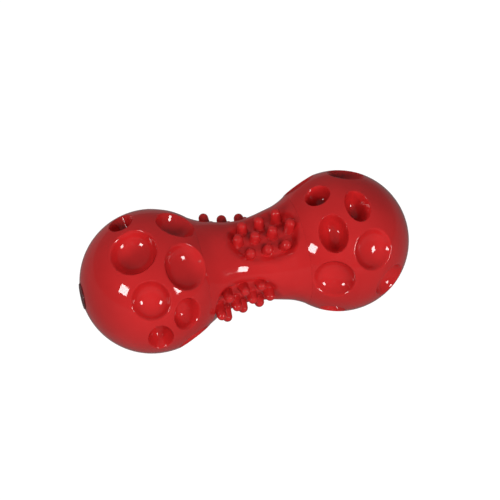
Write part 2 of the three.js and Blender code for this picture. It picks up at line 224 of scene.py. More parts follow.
class ToyGripSizes(PropertyGroup):
    radius: length("Radius", "Radius of the waist at its middle", 18.7)
    bend: length("Bend", "Radius of the waist's curve along the toy", 36)
    level: length("Level", "How far the waist runs level on each side of its middle", 0.5)
    collar: length("Collar", "Width of the straight band beside each seam", 4.5)
    collar_slope: angle("Collar slope", "Slope of that band against the axis", 30)
    crease_blend: length("Crease blend", "How softly the band meets the waist's curve", 1.1)
    seam_gap: length("Seam gap", "Hairline between the waist and a ball", 0.02)
    skin: length("Skin", "Wall under the sunk pads", 3)
    pad_depth: length("Pad depth", "How far a pad is sunk at the middle", 2)
    pad_sink: number("Pad sink", "Extra depth towards the ball, by length", 0.07)
    pad_seam_margin: length("Pad margin", "From the seam to a pad's wide end", 1.9)
    pad_tail: length("Pad tail", "How far a pad runs past the toy's middle", 9.3)
    pad_half_turn: angle("Pad half turn", "Half of a pad's width round the waist", 35)
    first_pad_turn: angle("First pad turn", "Turn of the first pad", 14.5)
    pad_flare: number("Pad flare", "Extra width at the ball's end, as a share", 0.12)
    pad_fullness: number("Pad fullness", "Power of the outline, and so its corners' fullness", 2.4)
    pad_draft: number("Pad draft", "Share of the pad's length that its outline takes", 0.97)
    pad_wall_slope: angle("Pad wall slope", "Steepness of a pad's wall", 50)
    pad_end_slope: angle("Pad end slope", "How much steeper the wall is beside the ball", 20)
    pad_rim_blend: length("Pad rim blend", "How softly a pad's rim is rounded", 3)
    pad_foot_blend: length("Pad foot blend", "How softly a pad's wall meets its floor", 1.4)


class ToyNubSizes(PropertyGroup):
    radius: length("Radius", "Radius of a nub near its foot", 2.5)
    tip_radius: length("Tip radius", "Radius of a nub's rounded tip", 2.2)
    foot_flare: length("Foot flare", "How far the foot spreads out", 0.4)
    foot_height: length("Foot height", "Height of the spreading foot", 0.75)
    rise: length("Rise", "Height above the waist's surface at the middle", 2.9)
    rise_slope: number("Rise slope", "Extra rise towards the ball, by length", 0.08)
    end_margin: length("End margin", "From a pad's wide end to its last nub", 2.8)
    tail_margin: length("Tail margin", "From a pad's other end to its first nub", 4.2)
    row_turn: angle("Row turn", "Turn between two rows", 21.5)
    row_shift: angle("Row shift", "How far the rows are turned from the pad's middle", -1)


class ToySqueakerSizes(PropertyGroup):
    flange: length("Flange", "Thickness of the flange", 1.2)
    barrel_radius: length("Barrel radius", "Outer radius of the barrel", 4.6)
    barrel_wall: length("Barrel wall", "Wall of the barrel", 0.9)
    lip_length: length("Lip length", "Length of the snap lip", 2.2)
    cap_ledge: length("Cap ledge", "Width of the ledge that the cap rests on", 0.6)
    hole_radius: length("Hole radius", "Radius of the cap's air holes", 0.5)
    hole_circle: length("Hole circle", "Circle that the holes lie on", 2.3)
    hole_count: IntProperty(name="Holes", description="Air holes on that circle", default=6, min=1)
    fit_gap: length("Fit gap", "Room between fitted pieces", 0.3)
    edge_round: length("Edge round", "Rounding of the plastic's edges", 0.18)
    reed_bevel: length("Reed bevel", "Bevel of the reed parts' edges", 0.06)


class ToyColours(PropertyGroup):
    red: colour("Red", "The soft moulding's main colour", (0.55, 0.017, 0.018))
    deep_red: colour("Deep red", "Its slightly darker patches", (0.49, 0.014, 0.015))
    plastic: colour("Squeaker plastic", "The squeaker's shell", (0.10, 0.006, 0.008))
    reed: colour("Reed plastic", "The reed and its holder", (0.76, 0.73, 0.64))
    floor: colour("Floor", "The studio's floor", (0.14, 0.14, 0.14))
    walls: colour("Walls", "What the studio's walls send back", (0.035, 0.035, 0.035))
    ceiling: colour("Ceiling", "What the studio's ceiling sends back", (0.09, 0.09, 0.09))


class ToyStudio(PropertyGroup):
    camera_azimuth: angle("Camera azimuth", "Round the toy, 0 looks along +Y", -16.92)
    camera_elevation: angle("Camera elevation", "Above the horizon", 45.23)
    camera_distance: length("Camera distance", "From the aim to the camera", 704.7)
    lens: number("Lens", "Focal length in millimetres", 112.49)
    aim_x: length("Aim X", "Where the camera looks along the toy", 3.56, low=-1000)
    aim_y: length("Aim Y", "Where the camera looks across the toy", 5.95, low=-1000)
    lamp_distance: length("Lamp distance", "From the toy to each lamp", 1000)
    lamp_level: number("Lamp level", "Share of each lamp's watts", 1)
    floor_size: length("Floor size", "Side of the floor", 12000)
    floor_glow: number("Floor glow", "Whiteness added to the floor", 0.96)
    gloss_share: number("Gloss share", "How much of that whiteness glossy surfaces show", 0.1)


def direction(azimuth, elevation):
    """The way out from the toy at an azimuth and an elevation."""
    flat = math.cos(elevation)
    return Vector((math.sin(azimuth) * flat, -math.cos(azimuth) * flat, math.sin(elevation)))


def smooth_min(first, second, blend):
    """The lower of two values, rounded where they cross."""
    near = np.maximum(blend - np.abs(first - second), 0)
    return np.minimum(first, second) - near**2 / (4 * blend)


def smooth_max(first, second, blend):
    """The higher of two values, rounded where they cross."""
    return -smooth_min(-first, -second, blend)


def axis_height(sizes):
    """Height of the toy's axis above the floor."""
    return sizes.radius - sizes.rest_flat


def seam_place(sizes):
    """X and radius of the seam between a ball and the waist."""
    middle = RIGHT_POLE - sizes.radius
    return (
        middle - sizes.radius * math.cos(sizes.neck_angle),
        sizes.radius * math.sin(sizes.neck_angle),
    )


def deselect_all():
    """Leaves edit mode and selects nothing."""
    if bpy.context.mode != "OBJECT":
        bpy.ops.object.mode_set(mode="OBJECT")
    bpy.ops.object.select_all(action="DESELECT")


def select_only(*pieces):
    """Selects these objects, and makes the last one active."""
    deselect_all()
    for piece in pieces:
        piece.select_set(True)
    bpy.context.view_layer.objects.active = pieces[-1]


def rounded(corners):
    """An outline whose corners are cut round: each corner is two places and a rounding."""
    points = []
    spots = [Vector(corner[:2]) for corner in corners]
    for index, (spot, corner) in enumerate(zip(spots, corners)):
        if not corner[2] or index in (0, len(corners) - 1):
            points.append(spot)
            continue
        before = (spots[index - 1] - spot).normalized()
        after = (spots[index + 1] - spot).normalized()
        cut = corner[2] / math.tan(before.angle(after) / 2)
        for step in range(CORNER_STEPS + 1):
            share = step / CORNER_STEPS
            start = spot + before * cut
            end = spot + after * cut
            points.append(
                start * (1 - share) ** 2 + spot * 2 * share * (1 - share) + end * share**2
            )
    return points


def draw_outline(name, points, origin, rotation=(0, 0, 0)):
    """Draws an outline in the XZ plane by extruding one vertex from point to point."""
    deselect_all()
    bpy.context.tool_settings.mesh_select_mode = (True, False, False)
    bpy.ops.mesh.primitive_plane_add(size=MM, location=origin, rotation=rotation)
    piece = bpy.context.object
    piece.name = name
    bpy.ops.object.mode_set(mode="EDIT")
    bpy.ops.mesh.select_all(action="SELECT")
    bpy.ops.mesh.merge(type="CENTER")
    places = [Vector((point[0], 0, point[1])) for point in points]
    bpy.ops.transform.translate(value=places[0] - Vector(origin))
    for before, after in zip(places, places[1:]):
        bpy.ops.mesh.extrude_region_move(TRANSFORM_OT_translate={"value": after - before})
    return piece


def spin_outline(turns, centre, axis):
    """Spins the drawn outline once round into a closed skin that faces outward."""
    bpy.ops.mesh.select_all(action="SELECT")
    bpy.ops.mesh.spin(steps=turns, angle=2 * math.pi, center=centre, axis=axis)
    bpy.ops.mesh.select_all(action="SELECT")
    bpy.ops.mesh.remove_doubles(threshold=WELD)
    bpy.ops.mesh.normals_make_consistent(inside=False)
    bpy.ops.object.mode_set(mode="OBJECT")


def world_places(piece, parts, kind):
    """World places of these parts of a piece's mesh."""
    places = np.empty(len(parts) * 3)
    parts.foreach_get(kind, places)
    matrix = np.array(piece.matrix_world)
    return places.reshape(-1, 3) @ matrix[:3, :3].T + matrix[:3, 3]


def vertex_places(piece):
    """World places of a piece's vertices."""
    return world_places(piece, piece.data.vertices, "co")


def face_places(piece):
    """World places of the middles of a piece's faces."""
    return world_places(piece, piece.data.polygons, "center")


def edit_selected(piece, vertices, faces):
    """Opens a piece in edit mode with either these vertices or these faces selected."""
    mesh = piece.data
    for parts, wanted in ((mesh.vertices, vertices), (mesh.edges, None), (mesh.polygons, faces)):
        parts.foreach_set("select", np.zeros(len(parts), bool) if wanted is None else wanted)
    select_only(piece)
    bpy.context.tool_settings.mesh_select_mode = (faces is None, False, faces is not None)
    bpy.ops.object.mode_set(mode="EDIT")


def split_faces(piece, wanted):
    """Subdivides the wanted faces once."""
    edit_selected(piece, None, wanted)
    bpy.ops.mesh.subdivide(number_cuts=1)
    bpy.ops.object.mode_set(mode="OBJECT")


def press(piece, shape, radii, wanted, lowest, axis_of=None):
    """Presses vertices towards the middle or the axis, another piece's if given, to wanted radii."""
    select_only(piece)
    group = piece.vertex_groups.new(name="pressed")
    weights = np.clip((radii - wanted) / (radii - lowest), 0, 1)
    for index in np.flatnonzero(weights > 0):
        group.add([int(index)], float(weights[index]), "REPLACE")
    cast = piece.modifiers.new("press", "CAST")
    cast.cast_type = shape
    cast.factor = 1
    cast.use_radius_as_size = False
    cast.size = lowest
    cast.vertex_group = group.name
    if axis_of:
        cast.object = axis_of
        cast.use_transform = True
    bpy.ops.object.modifier_apply(modifier=cast.name)
    piece.vertex_groups.clear()


def combine(piece, other, operation):
    """Joins another object to a piece, or cuts it out of the piece, and removes that object."""
    select_only(piece)
    change = piece.modifiers.new("combine", "BOOLEAN")
    change.operation = operation
    change.solver = "MANIFOLD"
    change.object = other
    bpy.ops.object.modifier_apply(modifier=change.name)
    bpy.data.objects.remove(other)


def place_in_mesh(piece):
    """Puts a piece's place into its mesh, so that its object sits at the origin."""
    select_only(piece)
    bpy.ops.object.transform_apply(location=True, rotation=True, scale=True)


def shade(piece, degrees):
    """Shades a piece smooth, except across edges sharper than an angle."""
    select_only(piece)
    bpy.ops.object.shade_smooth_by_angle(angle=math.radians(degrees))


def finish_piece(piece, node, body, material):
    """Gives a piece its material and its body, and hides the CAD node that it stands for."""
    piece.data.materials.clear()
    piece.data.materials.append(material)
    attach(piece, body)
    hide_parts(node)


def pit_axes(side, latitude, turn):
    """Unit vectors out of a pit, along the ball's meridian and round the toy."""
    turn, lift = math.radians(turn), math.radians(latitude)
    across = np.array([0, -math.sin(turn), math.cos(turn)])
    along = np.array([side, 0, 0])
    outward = along * math.sin(lift) + across * math.cos(lift)
    poleward = along * math.cos(lift) - across * math.sin(lift)
    return outward, poleward, np.cross(poleward, outward)


def pit_tilt(ways, side, pit, radius, spread):
    """Angle of each way from a pit's axis, the pit's half width on that side, and both halves."""
    outward, poleward, sideways = pit_axes(side, *pit[:2])
    halves = [share * radius + spread for share in pit[2:4]]
    along, around = ways @ poleward, ways @ sideways
    off = np.maximum(np.hypot(along, around), TINY)
    half = 1 / np.hypot(along / off / halves[0], around / off / halves[1])
    return np.arctan2(off, ways @ outward), half, halves


def bowl_reach(tilt, half, rim, bottom, sphere, blend):
    """Distance from the ball's centre to a pit's bowl, under an angle from the pit's axis."""
    low, high = np.zeros_like(tilt), np.full_like(tilt, BOWL_REACH)
    for _ in range(BOWL_HALVINGS):
        share = (low + high) / 2
        drop = 1 - BOWL_GENTLE_SHARE * share**BOWL_GENTLE_POWER
        drop -= (1 - BOWL_GENTLE_SHARE) * share**BOWL_STEEP_POWER
        dome = np.sqrt(sphere**2 - (share * half) ** 2)
        height = smooth_min(rim - drop * (rim - bottom), dome, blend)
        inside = np.arctan2(share * half, height) < tilt
        low, high = np.where(inside, share, low), np.where(inside, high, share)
    return np.hypot(share * half, height)


def rim_height(sphere, halves):
    """Height of a pit's rim above the ball's centre."""
    return math.sqrt(sphere**2 - (sum(halves) / 2) ** 2)


def pressed_radius(ways, side, pits, sizes, wall, spread):
    """Radius of a ball's skin with its pits, or of its lining a wall below, in each of these ways."""
    sphere = sizes.radius - wall
    reach = np.full(len(ways), sphere)
    for pit in pits:
        tilt, half, halves = pit_tilt(ways, side, pit, sizes.radius, spread)
        near = np.flatnonzero(tilt < math.asin(BOWL_REACH * max(halves) / sphere))
        rim = rim_height(sphere, halves)
        open_halves = [width - spread for width in halves]
        bottom = rim_height(sizes.radius, open_halves) - pit[4] * sizes.pit_depth - wall
        bowl = bowl_reach(tilt[near], half[near], rim, bottom, sphere, sizes.rim_blend)
        reach[near] = np.minimum(reach[near], bowl)
    return reach


def ball_outline(side, sizes, squeaker, middle):
    """Closed section of a ball: skin, neck, socket and cavity, with the squeaker's seat if any."""
    skin, cavity = sizes.radius + SPARE, sizes.radius - sizes.wall + SPARE
    seam, seam_radius = seam_place(sizes)
    neck = middle - seam
    socket = seam_radius - sizes.socket_lip
    first = cavity_end = 0
    start, end = [], []
    if side < 0:
        pocket = FLANGE_RADIUS + squeaker.fit_gap
        hole = squeaker.barrel_radius + squeaker.fit_gap
        floor = sizes.radius - sizes.seat_depth
        back = floor - sizes.seat_wall
        first = math.asin(pocket / skin)
        cavity_end = math.acos(back / cavity)
        edge = sizes.edge_round
        start = [(floor, (pocket + hole) / 2, 0), (floor, pocket, edge / 2)]
        end = [(back, hole, edge), (floor, hole, edge), start[0]]
    last = math.pi - sizes.neck_angle
    arc = np.linspace(first, last, BALL_ARCS + 1)
    outer = [(skin * math.cos(a), skin * math.sin(a), 0) for a in arc]
    outer[-1] = (*outer[-1][:2], sizes.seam_round)
    if start:
        outer[0] = (*outer[0][:2], sizes.edge_round)
    mouth = [(-neck, socket, sizes.edge_round), (sizes.socket_depth - neck, socket, sizes.edge_round)]
    cavity_start = math.acos((sizes.socket_depth - neck) / cavity)
    arc = np.linspace(cavity_start, cavity_end, CAVITY_ARCS + 1)
    inner = [(cavity * math.cos(a), cavity * math.sin(a), 0) for a in arc]
    corners = [*start, *outer, *mouth, *inner, *end]
    axis = axis_height(sizes)
    return [(side * (middle + out), axis + radius) for out, radius in rounded(corners)]


def refine_pits(piece, side, pits, sizes, centre):
    """Splits the faces of a ball's skin in its pits, and once more at their rims."""
    for low, high in PIT_REFINES:
        ways = face_places(piece) - centre
        radii = np.linalg.norm(ways, axis=1)
        ways /= radii[:, None]
        wanted = np.zeros(len(ways), bool)
        for pit in pits:
            tilt, half, _ = pit_tilt(ways, side, pit, sizes.radius, 0)
            share = np.where(tilt < math.pi / 2, sizes.radius * np.sin(tilt) / half, BOWL_REACH)
            wanted |= (share >= low) & (share < high)
        split_faces(piece, wanted & (radii > sizes.radius))


def build_ball(side, node, pits, scene, material):
    """Models one ball: spins its section, refines it, presses its pits and flattens its rest."""
    sizes, squeaker = scene.toy_ball, scene.toy_squeaker
    middle = RIGHT_POLE - sizes.radius
    centre = (side * middle, 0, axis_height(sizes))
    outline = ball_outline(side, sizes, squeaker, middle)
    piece = draw_outline(f"{node}_moulding", outline, centre)
    spin_outline(BALL_TURNS, centre, (1, 0, 0))
    refine_pits(piece, side, pits, sizes, centre)

    ways = vertex_places(piece) - centre
    radii = np.linalg.norm(ways, axis=1)
    ways /= radii[:, None]
    wanted = radii.copy()
    edge = radii > sizes.radius - sizes.edge_round
    wanted[edge] -= SPARE
    skin = radii > sizes.radius + SPARE - SKIN_TOLERANCE
    wanted[skin] = pressed_radius(ways[skin], side, pits, sizes, 0, 0)
    lining = np.abs(radii - sizes.radius + sizes.wall - SPARE) < SKIN_TOLERANCE
    spread = BUMP_FLANK_SHARE * sizes.wall
    wanted[lining] = pressed_radius(ways[lining], side, pits, sizes, sizes.wall, spread)
    press(piece, "SPHERE", radii, wanted, sizes.radius * BALL_CORE)

    edit_selected(piece, vertex_places(piece)[:, 2] < 0, None)
    bpy.ops.transform.resize(value=(1, 1, 0), center_override=(0, 0, 0))
    deselect_all()
    place_in_mesh(piece)
    shade(piece, SOFT_EDGE)
    finish_piece(piece, node, "toy", material)
    return piece


def grip_surface(x, ball, grip):
    """The waist's radius along the toy, without its pads."""
    reach = np.abs(x)
    seam, seam_radius = seam_place(ball)
    slope = math.tan(grip.collar_slope)
    crease = seam - grip.collar
    crease_radius = seam_radius - grip.collar * slope
    total = crease_radius - grip.radius
    run = crease - grip.level
    flank = (run - math.sqrt(run**2 - 2 * total * grip.bend)) / grip.bend
    bent = np.clip(reach - grip.level, 0, flank * grip.bend)
    straight = np.maximum(reach - grip.level - flank * grip.bend, 0)
    curve = grip.radius + bent**2 / (2 * grip.bend) + flank * straight
    band = crease_radius + (reach - crease) * slope
    return smooth_max(curve, band, grip.crease_blend)


def pad_turn(index, grip):
    """The turn of a pad's middle."""
    return grip.first_pad_turn + index * 2 * math.pi / len(PAD_SIDES)


def pad_inset(x, turn, index, ball, grip):
    """How far a place on the waist lies inside a pad's outline."""
    side = PAD_SIDES[index]
    seam, _ = seam_place(ball)
    wide_end = seam - grip.pad_seam_margin
    shift, half_length = (wide_end - grip.pad_tail) / 2, (wide_end + grip.pad_tail) / 2
    half_length *= grip.pad_draft
    along = (side * x - shift) / half_length
    flare = 1 + grip.pad_flare * np.clip(along, -1, 1)
    swing = (turn - pad_turn(index, grip) + math.pi) % (2 * math.pi) - math.pi
    around = swing / (grip.pad_half_turn * flare)
    power = grip.pad_fullness
    share = (np.abs(along) ** power + np.abs(around) ** power) ** (1 / power)
    share = np.maximum(share, TINY)
    half_width = grip.pad_half_turn * flare * grip_surface(x, ball, grip)
    steep = share ** (1 - power) * np.hypot(
        np.abs(along) ** (power - 1) / half_length, np.abs(around) ** (power - 1) / half_width
    )
    return (1 - share) / np.maximum(steep, TINY)


def pad_floor_depth(x, grip):
    """How far a pad's floor lies under the waist's surface."""
    return grip.pad_depth + grip.pad_sink * np.abs(x)


def grip_relief(x, turn, ball, grip):
    """The waist's radius with its sunk pads."""
    surface = grip_surface(x, ball, grip)
    floor = pad_floor_depth(x, grip)
    sunk = np.zeros_like(x)
    seam, _ = seam_place(ball)
    for index, side in enumerate(PAD_SIDES):
        inset = pad_inset(x, turn, index, ball, grip)
        slope = grip.pad_wall_slope + grip.pad_end_slope * np.clip(side * x / seam, 0, 1) ** 2
        wall = inset * np.tan(slope)
        depth = smooth_max(np.zeros_like(x), wall, grip.pad_rim_blend)
        sunk = np.maximum(sunk, smooth_min(depth, floor, grip.pad_foot_blend))
    return surface - sunk


def round_axis(places, axis):
    """X, turn and radius of places round the toy's axis."""
    up = places[:, 2] - axis
    turn = np.arctan2(-places[:, 1], up)
    return places[:, 0], turn, np.hypot(places[:, 1], up)


def grip_outline(ball, grip, squeaker):
    """Closed section of the waist: skin, a spigot at each end, and the bore through it."""
    seam, seam_radius = seam_place(ball)
    shoulder = seam - grip.seam_gap
    end = seam + ball.socket_depth
    spigot = seam_radius - ball.socket_lip - squeaker.fit_gap
    edge = ball.edge_round
    reach = np.linspace(-shoulder, shoulder, GRIP_STEPS + 1)
    skin = [(x, grip_surface(x, ball, grip) + SPARE, 0) for x in reach]
    skin[0] = (*skin[0][:2], ball.seam_round)
    skin[-1] = (*skin[-1][:2], ball.seam_round)
    bore_middle = grip.radius - grip.pad_depth - grip.skin
    bore_end = spigot - grip.skin
    bore = []
    for share in np.linspace(1, -1, BORE_STEPS + 1):
        bore.append((end * share, bore_middle + (bore_end - bore_middle) * share**2, 0))
    bore[0] = (*bore[0][:2], edge)
    bore[-1] = (*bore[-1][:2], edge)
    start = (-end, (spigot + bore_end) / 2, 0)
    corners = [start, (-end, spigot, 2 * edge), (-shoulder, spigot, edge), *skin]
    corners += [(shoulder, spigot, edge), (end, spigot, 2 * edge), *bore, start]
    axis = axis_height(ball)
    return [(x, axis + radius) for x, radius in rounded(corners)]


def build_tube(scene):
    """Models the waist without its nubs: spins its section and presses the pads in."""
    ball, grip, squeaker = scene.toy_ball, scene.toy_grip, scene.toy_squeaker
    axis = axis_height(ball)
    centre = (0, 0, axis)
    outline = grip_outline(ball, grip, squeaker)
    piece = draw_outline("grip_moulding", outline, centre, (0, math.pi / 2, 0))
    spin_outline(GRIP_TURNS, centre, (1, 0, 0))
    for low, high in PAD_REFINES:
        x, turn, radii = round_axis(face_places(piece), axis)
        inset = np.max([pad_inset(x, turn, i, ball, grip) for i in range(len(PAD_SIDES))], axis=0)
        surface = grip_surface(x, ball, grip)
        split_faces(piece, (inset > low * MM) & (inset < high * MM) & (radii > surface))

    x, turn, radii = round_axis(vertex_places(piece), axis)
    surface = grip_surface(x, ball, grip)
    wanted = radii.copy()
    wanted[radii > surface - ball.edge_round] -= SPARE
    skin = radii > surface + SPARE - SKIN_TOLERANCE
    wanted[skin] = grip_relief(x[skin], turn[skin], ball, grip)
    press(piece, "CYLINDER", radii, wanted, grip.radius * GRIP_CORE)
    return piece


def nub_places(ball, grip, nub):
    """X and turn of every nub."""
    seam, _ = seam_place(ball)
    wide_end = seam - grip.pad_seam_margin
    start = nub.tail_margin - grip.pad_tail
    end = wide_end - nub.end_margin
    pitch = (end - start) / (max(count for count, _ in NUB_ROWS) - 1)
    places = []
    for index, side in enumerate(PAD_SIDES):
        for count, rows in NUB_ROWS:
            for step in range(count):
                shift = (start + end) / 2 + (step - (count - 1) / 2) * pitch
                turn = pad_turn(index, grip) + nub.row_shift + rows * nub.row_turn
                places.append((side * shift, turn))
    return places


def nub_tip(x, ball, grip, nub):
    """How far a nub's tip is from the toy's axis."""
    return grip_surface(x, ball, grip) + nub.rise + nub.rise_slope * np.abs(x)


def build_nubs(scene, tube):
    """Models one nub, copies it to every place, and stands each on its pad's sloping floor."""
    ball, grip, nub = scene.toy_ball, scene.toy_grip, scene.toy_nub
    axis = axis_height(ball)
    base, tall, crown = ball.radius, NUB_DRAWN, nub.tip_radius
    corners = [(0, -NUB_ROOT, 0), (nub.radius + nub.foot_flare, -NUB_ROOT, 0)]
    for share in np.linspace(0, 1, FOOT_POINTS):
        swing = share * math.pi / 2
        spread = FOOT_FILLET_SHARE * (1 - math.sin(swing)) + (1 - FOOT_FILLET_SHARE) * (1 - share)
        height = nub.foot_height * (1 - math.cos(swing))
        corners.append((nub.radius + nub.foot_flare * spread, height, 0))
    corners.append(((nub.radius + crown) / 2, (nub.foot_height + tall - crown) / 2, 0))
    for share in np.linspace(0, 1, CROWN_POINTS):
        swing = share * math.pi / 2
        corners.append((crown * math.cos(swing), tall - crown + crown * math.sin(swing), 0))
    outline = [(corner[0], axis + base + corner[1]) for corner in corners]
    first = draw_outline("nub", outline, (0, 0, axis))
    spin_outline(NUB_TURNS, (0, 0, axis), (0, 0, 1))
    first.data.attributes.new("nub_middle", "FLOAT", "POINT")
    copies = []
    for x, turn in nub_places(ball, grip, nub):
        copy = first.copy()
        copy.data = first.data.copy()
        values = copy.data.attributes["nub_middle"].data
        values.foreach_set("value", np.full(len(values), x, np.float32))
        copy.location.x = x
        copy.rotation_euler.x = turn
        copy.scale.y = (base + tall - crown) / (nub_tip(x, ball, grip, nub) - crown)
        bpy.context.collection.objects.link(copy)
        copies.append(copy)
    bpy.data.objects.remove(first)
    bpy.context.view_layer.update()
    select_only(*copies)
    bpy.ops.object.join()
    nubs = bpy.context.object
    place_in_mesh(nubs)

    places = vertex_places(nubs)
    x, _, radii = round_axis(places, axis)
    middle = np.empty(len(x), np.float32)
    nubs.data.attributes["nub_middle"].data.foreach_get("value", middle)
    drawn, shaft = radii - base, tall - crown
    height = np.minimum(drawn / shaft, 1)
    share = np.clip(height, 0, 1)
    own = x * (1 - share) + middle * share
    foot = grip_surface(own, ball, grip) - pad_floor_depth(own, grip)
    foot_middle = grip_surface(middle, ball, grip) - pad_floor_depth(middle, grip)
    tip = nub_tip(middle, ball, grip, nub)
    wanted = foot + height * (tip - crown - foot_middle) + np.maximum(drawn - shaft, 0)
    press(nubs, "CYLINDER", radii, wanted, grip.radius * GRIP_CORE, tube)
    nubs.data.attributes.remove(nubs.data.attributes["nub_middle"])
    return nubs


class TOY_OT_stage(Operator):
    """Makes the floor, the lamps, the surroundings and the camera"""

    bl_idname = "toy.stage"
    bl_label = "Stage"

    def execute(self, context):
        scene = context.scene
        studio, colours = scene.toy_studio, scene.toy_colours
        aim = Vector((studio.aim_x, studio.aim_y, axis_height(scene.toy_ball)))
        deselect_all()
        bpy.ops.mesh.primitive_plane_add(size=studio.floor_size)
        floor = context.object
        floor.name = "studio_floor"
        floor.data.materials.append(floor_material(colours, studio))
        for azimuth, elevation, side, watts, mirrored in LAMPS:
            azimuth, elevation = math.radians(azimuth), math.radians(elevation)
            place = Vector((0, 0, aim.z)) + direction(azimuth, elevation) * studio.lamp_distance
            turn = (math.pi / 2 - elevation, 0, azimuth)
            bpy.ops.object.light_add(type="AREA", location=place, rotation=turn)
            context.object.visible_glossy = mirrored
            lamp = context.object.data
            lamp.shape = "SQUARE"
            lamp.size = side * MM
            lamp.energy = watts * studio.lamp_level
        azimuth, elevation = studio.camera_azimuth, studio.camera_elevation
        place = aim + direction(azimuth, elevation) * studio.camera_distance
        turn = (math.pi / 2 - elevation, 0, azimuth)
        bpy.ops.object.camera_add(location=place, rotation=turn)
        scene.camera = context.object
        camera = scene.camera.data
        camera.lens = studio.lens
        camera.sensor_width = SENSOR_WIDTH
        camera.clip_start, camera.clip_end = CAMERA_RANGE
        surroundings(scene, colours, studio)
        scene.view_settings.view_transform = "Standard"
        return {"FINISHED"}


class TOY_OT_balls(Operator):
    """Models the two hollow balls with their pits"""

    bl_idname = "toy.balls"
    bl_label = "Balls"

    def execute(self, context):
        scene = context.scene
        material = red_material(scene.toy_colours)
        build_ball(-1, "left_ball", LEFT_PITS, scene, material)
        build_ball(1, "right_ball", RIGHT_PITS, scene, material)
        return {"FINISHED"}


class TOY_OT_grip(Operator):
    """Models the waist with its sunk pads and their nubs"""

    bl_idname = "toy.grip"
    bl_label = "Waist"

    def execute(self, context):
        scene = context.scene
        tube = build_tube(scene)
        nubs = build_nubs(scene, tube)
        place_in_mesh(tube)
        combine(tube, nubs, "UNION")
        shade(tube, SOFT_EDGE)
        finish_piece(tube, "grip", "toy", red_material(scene.toy_colours))
        return {"FINISHED"}


class TOY_OT_squeaker(Operator):
    """Models the squeaker's barrel, its pierced cap and its reed parts"""

    bl_idname = "toy.squeaker"
    bl_label = "Squeaker"

    def execute(self, context):
        scene = context.scene
        build_barrel(scene)
        build_cap(scene)
        build_reed_parts(scene)
        return {"FINISHED"}


def turn_part(name, corners, axis):
    """Turns one of the squeaker's round parts, whose corners are X, radius and rounding."""
    outline = [(x, axis + radius) for x, radius in rounded(corners)]
    piece = draw_outline(name, outline, (0, 0, axis))
    spin_outline(SQUEAKER_TURNS, (0, 0, axis), (1, 0, 0))
    place_in_mesh(piece)
    return piece


def build_barrel(scene):
    """Models the barrel: flange, neck through the wall, snap lip, bore and the cap's seat."""
    sizes = scene.toy_squeaker
    edge = sizes.edge_round
    flange_back = SQUEAKER_FACE + sizes.flange
    lip = flange_back + scene.toy_ball.seat_wall + 2 * sizes.fit_gap
    bore = sizes.barrel_radius - sizes.barrel_wall
    seat = CAP_BACK + sizes.fit_gap
    ledge = bore + sizes.cap_ledge
    start = (SQUEAKER_FACE, (ledge + FLANGE_RADIUS) / 2, 0)
    corners = [
        start,
        (SQUEAKER_FACE, FLANGE_RADIUS, 2 * edge),
        (flange_back, FLANGE_RADIUS, edge),
        (flange_back, sizes.barrel_radius, edge),
        (lip, sizes.barrel_radius, edge),
        (lip, FLANGE_RADIUS, edge),
        (lip + sizes.lip_length / 2, FLANGE_RADIUS, 2 * edge),
        (lip + sizes.lip_length, sizes.barrel_radius, edge),
        (SQUEAKER_END, sizes.barrel_radius, edge),
        (SQUEAKER_END, bore, edge),
        (seat, bore, edge / 2),
        (seat, ledge, edge / 2),
        (SQUEAKER_FACE, ledge, edge),
        start,
    ]
    piece = turn_part("squeaker_barrel", corners, axis_height(scene.toy_ball))
    shade(piece, HARD_EDGE)
    material = plastic_material("squeaker_plastic", scene.toy_colours.plastic, roughness=0.22)
    finish_piece(piece, "squeaker_body", "toy", material)


def build_cap(scene):
    """Models the cap: a disc with a rounded edge and a ring of air holes."""
    sizes = scene.toy_squeaker
    axis = axis_height(scene.toy_ball)
    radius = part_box("squeaker_cap")[1].y
    edge = sizes.edge_round
    corners = [
        (SQUEAKER_FACE, 0, 0),
        (SQUEAKER_FACE, radius, edge),
        (CAP_BACK, radius, edge),
        (CAP_BACK, 0, 0),
    ]
    piece = turn_part("squeaker_cap_disc", corners, axis)
    thick = CAP_BACK - SQUEAKER_FACE
    drills = []
    for index in range(sizes.hole_count + 1):
        swing = 2 * math.pi * index / sizes.hole_count
        circle = sizes.hole_circle if index < sizes.hole_count else 0
        place = (
            SQUEAKER_FACE + thick / 2,
            circle * math.cos(swing),
            axis + circle * math.sin(swing),
        )
        bpy.ops.mesh.primitive_cylinder_add(
            vertices=DRILL_TURNS,
            radius=sizes.hole_radius,
            depth=DRILL_LENGTH * thick,
            location=place,
            rotation=(0, math.pi / 2, 0),
        )
        drills.append(bpy.context.object)
    select_only(*drills)
    bpy.ops.object.join()
    combine(piece, bpy.context.object, "DIFFERENCE")
    shade(piece, HARD_EDGE)
    material = plastic_material("cap_plastic", scene.toy_colours.plastic, roughness=0.3)
    finish_piece(piece, "squeaker_cap", "toy", material)


